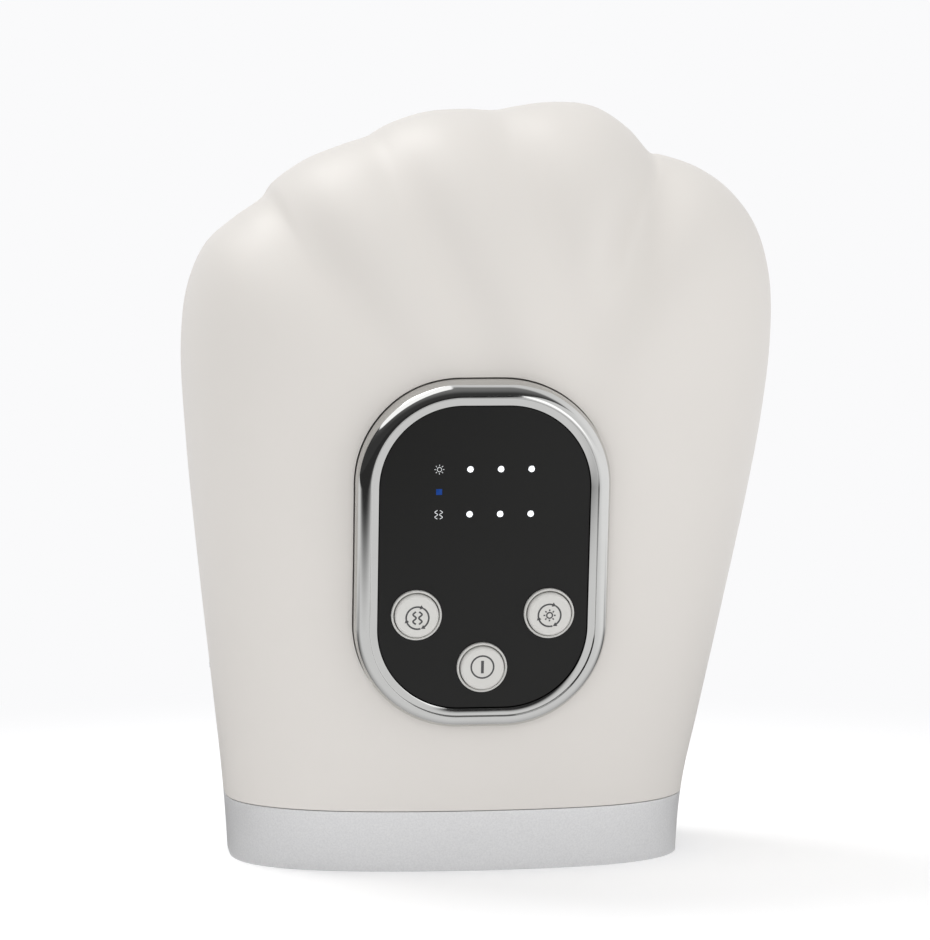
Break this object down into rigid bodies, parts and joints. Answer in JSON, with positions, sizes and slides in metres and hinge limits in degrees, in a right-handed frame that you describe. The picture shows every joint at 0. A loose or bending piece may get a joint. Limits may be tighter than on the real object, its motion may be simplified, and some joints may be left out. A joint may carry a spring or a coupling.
{
  "type": "air compression hand massager",
  "caption": "Mitten-shaped hand massager with finger lobes, a silver cuff with a hand opening, and a chrome-ringed panel with push buttons over inflatable air bags.",
  "frame": {"origin": "under the middle of the whole object's box, on the plane that its cuff stands on", "axes": "+Z from the cuff's mouth to the fingertips, -Y out of the control panel's side, +X towards the thumb"},
  "size_m": [0.186, 0.1212, 0.2377],
  "materials": {
    "shell_plastic": "moulded warm white, satin",
    "satin_silver": "plastic painted satin silver with a fine metallic grain",
    "chrome_plate": "plastic plated with bright chrome",
    "black_face": "satin black",
    "cap_plastic": "white satin with a printed icon",
    "grey_plastic": "moulded",
    "white_plastic": "moulded",
    "black_plastic": "moulded",
    "clear_light": "clear, lit from below",
    "blue_light": "tinted blue, lit from below",
    "circuit_board": "green solder mask",
    "plated_steel": "zinc plated",
    "grey_rubber": "matte",
    "bag_film": "welded film, satin",
    "pad_film": "amber heating film",
    "liner_cloth": "smooth knitted lining",
    "cell_foil": "pouch foil",
    "cable_jacket": "soft cable jacket"
  },
  "bodies": {
    "housing": {"front_shell": "shell_plastic", "back_shell": "shell_plastic", "cuff_ring": "satin_silver", "throat_collar": "white_plastic", "bezel_ring": "chrome_plate", "panel_plate": "black_face", "panel_carrier": "black_plastic", "control_board": "circuit_board", "light_guide": "clear_light", "blue_light_guide": "blue_light", "pressure_button_collar": "grey_plastic", "pressure_switch": "black_plastic", "heat_button_collar": "grey_plastic", "heat_switch": "black_plastic", "power_button_collar": "grey_plastic", "power_switch": "black_plastic", "deck_plate": "white_plastic", "main_board": "circuit_board", "battery_tray": "black_plastic", "battery_cell_1": "cell_foil", "battery_cell_2": "cell_foil", "pump_motor": "plated_steel", "pump_head": "black_plastic", "pump_cradle": "grey_rubber", "valve_yoke_1": "plated_steel", "valve_yoke_2": "plated_steel", "air_manifold": "white_plastic", "pump_tube": "grey_rubber", "finger_bag_tube": "grey_rubber", "back_bag_tube": "grey_rubber", "palm_bag_tube": "grey_rubber", "palm_air_bag": "bag_film", "finger_air_bag": "bag_film", "back_air_bag": "bag_film", "heating_pad": "pad_film", "chamber_liner": "liner_cloth", "light_strip": "clear_light", "ribbon_cable": "cable_jacket", "battery_lead": "cable_jacket", "charge_lead": "cable_jacket", "charge_socket": "plated_steel", "charge_board": "circuit_board", "case_screw_1": "plated_steel", "case_screw_2": "plated_steel", "case_screw_3": "plated_steel", "case_screw_4": "plated_steel", "rubber_foot_1": "grey_rubber", "rubber_foot_2": "grey_rubber", "rubber_foot_3": "grey_rubber", "rubber_foot_4": "grey_rubber"},
    "pressure_key": {"pressure_button": "cap_plastic", "pressure_switch_plunger": "grey_plastic"},
    "heat_key": {"heat_button": "cap_plastic", "heat_switch_plunger": "grey_plastic"},
    "power_key": {"power_button": "cap_plastic", "power_switch_plunger": "grey_plastic"},
    "pump_rotor": {"pump_eccentric": "white_plastic"},
    "valve_core_1": {"valve_plunger_1": "plated_steel"},
    "valve_core_2": {"valve_plunger_2": "plated_steel"}
  },
  "joints": [
    {"name": "pressure_press", "type": "slide", "parent": "housing", "child": "pressure_key", "axis": [0, 0.989, 0.1478], "range_m": [0, 0.0008], "stiffness_N_per_m": 1200, "springref_m": -0.0004},
    {"name": "heat_press", "type": "slide", "parent": "housing", "child": "heat_key", "axis": [0, 0.989, 0.1478], "range_m": [0, 0.0008], "stiffness_N_per_m": 1200, "springref_m": -0.0004},
    {"name": "power_press", "type": "slide", "parent": "housing", "child": "power_key", "axis": [0, 0.989, 0.1478], "range_m": [0, 0.0008], "stiffness_N_per_m": 1200, "springref_m": -0.0004},
    {"name": "pump_spin", "type": "hinge", "parent": "housing", "child": "pump_rotor", "pos_m": [0, -0.02947, 0.17346], "axis": [1, 0, 0], "continuous": true},
    {"name": "valve_pull_1", "type": "slide", "parent": "housing", "child": "valve_core_1", "axis": [0, 0, 1], "range_m": [0, 0.0015], "stiffness_N_per_m": 200, "springref_m": -0.001},
    {"name": "valve_pull_2", "type": "slide", "parent": "housing", "child": "valve_core_2", "axis": [0, 0, 1], "range_m": [0, 0.0015], "stiffness_N_per_m": 200, "springref_m": -0.001}
  ]
}
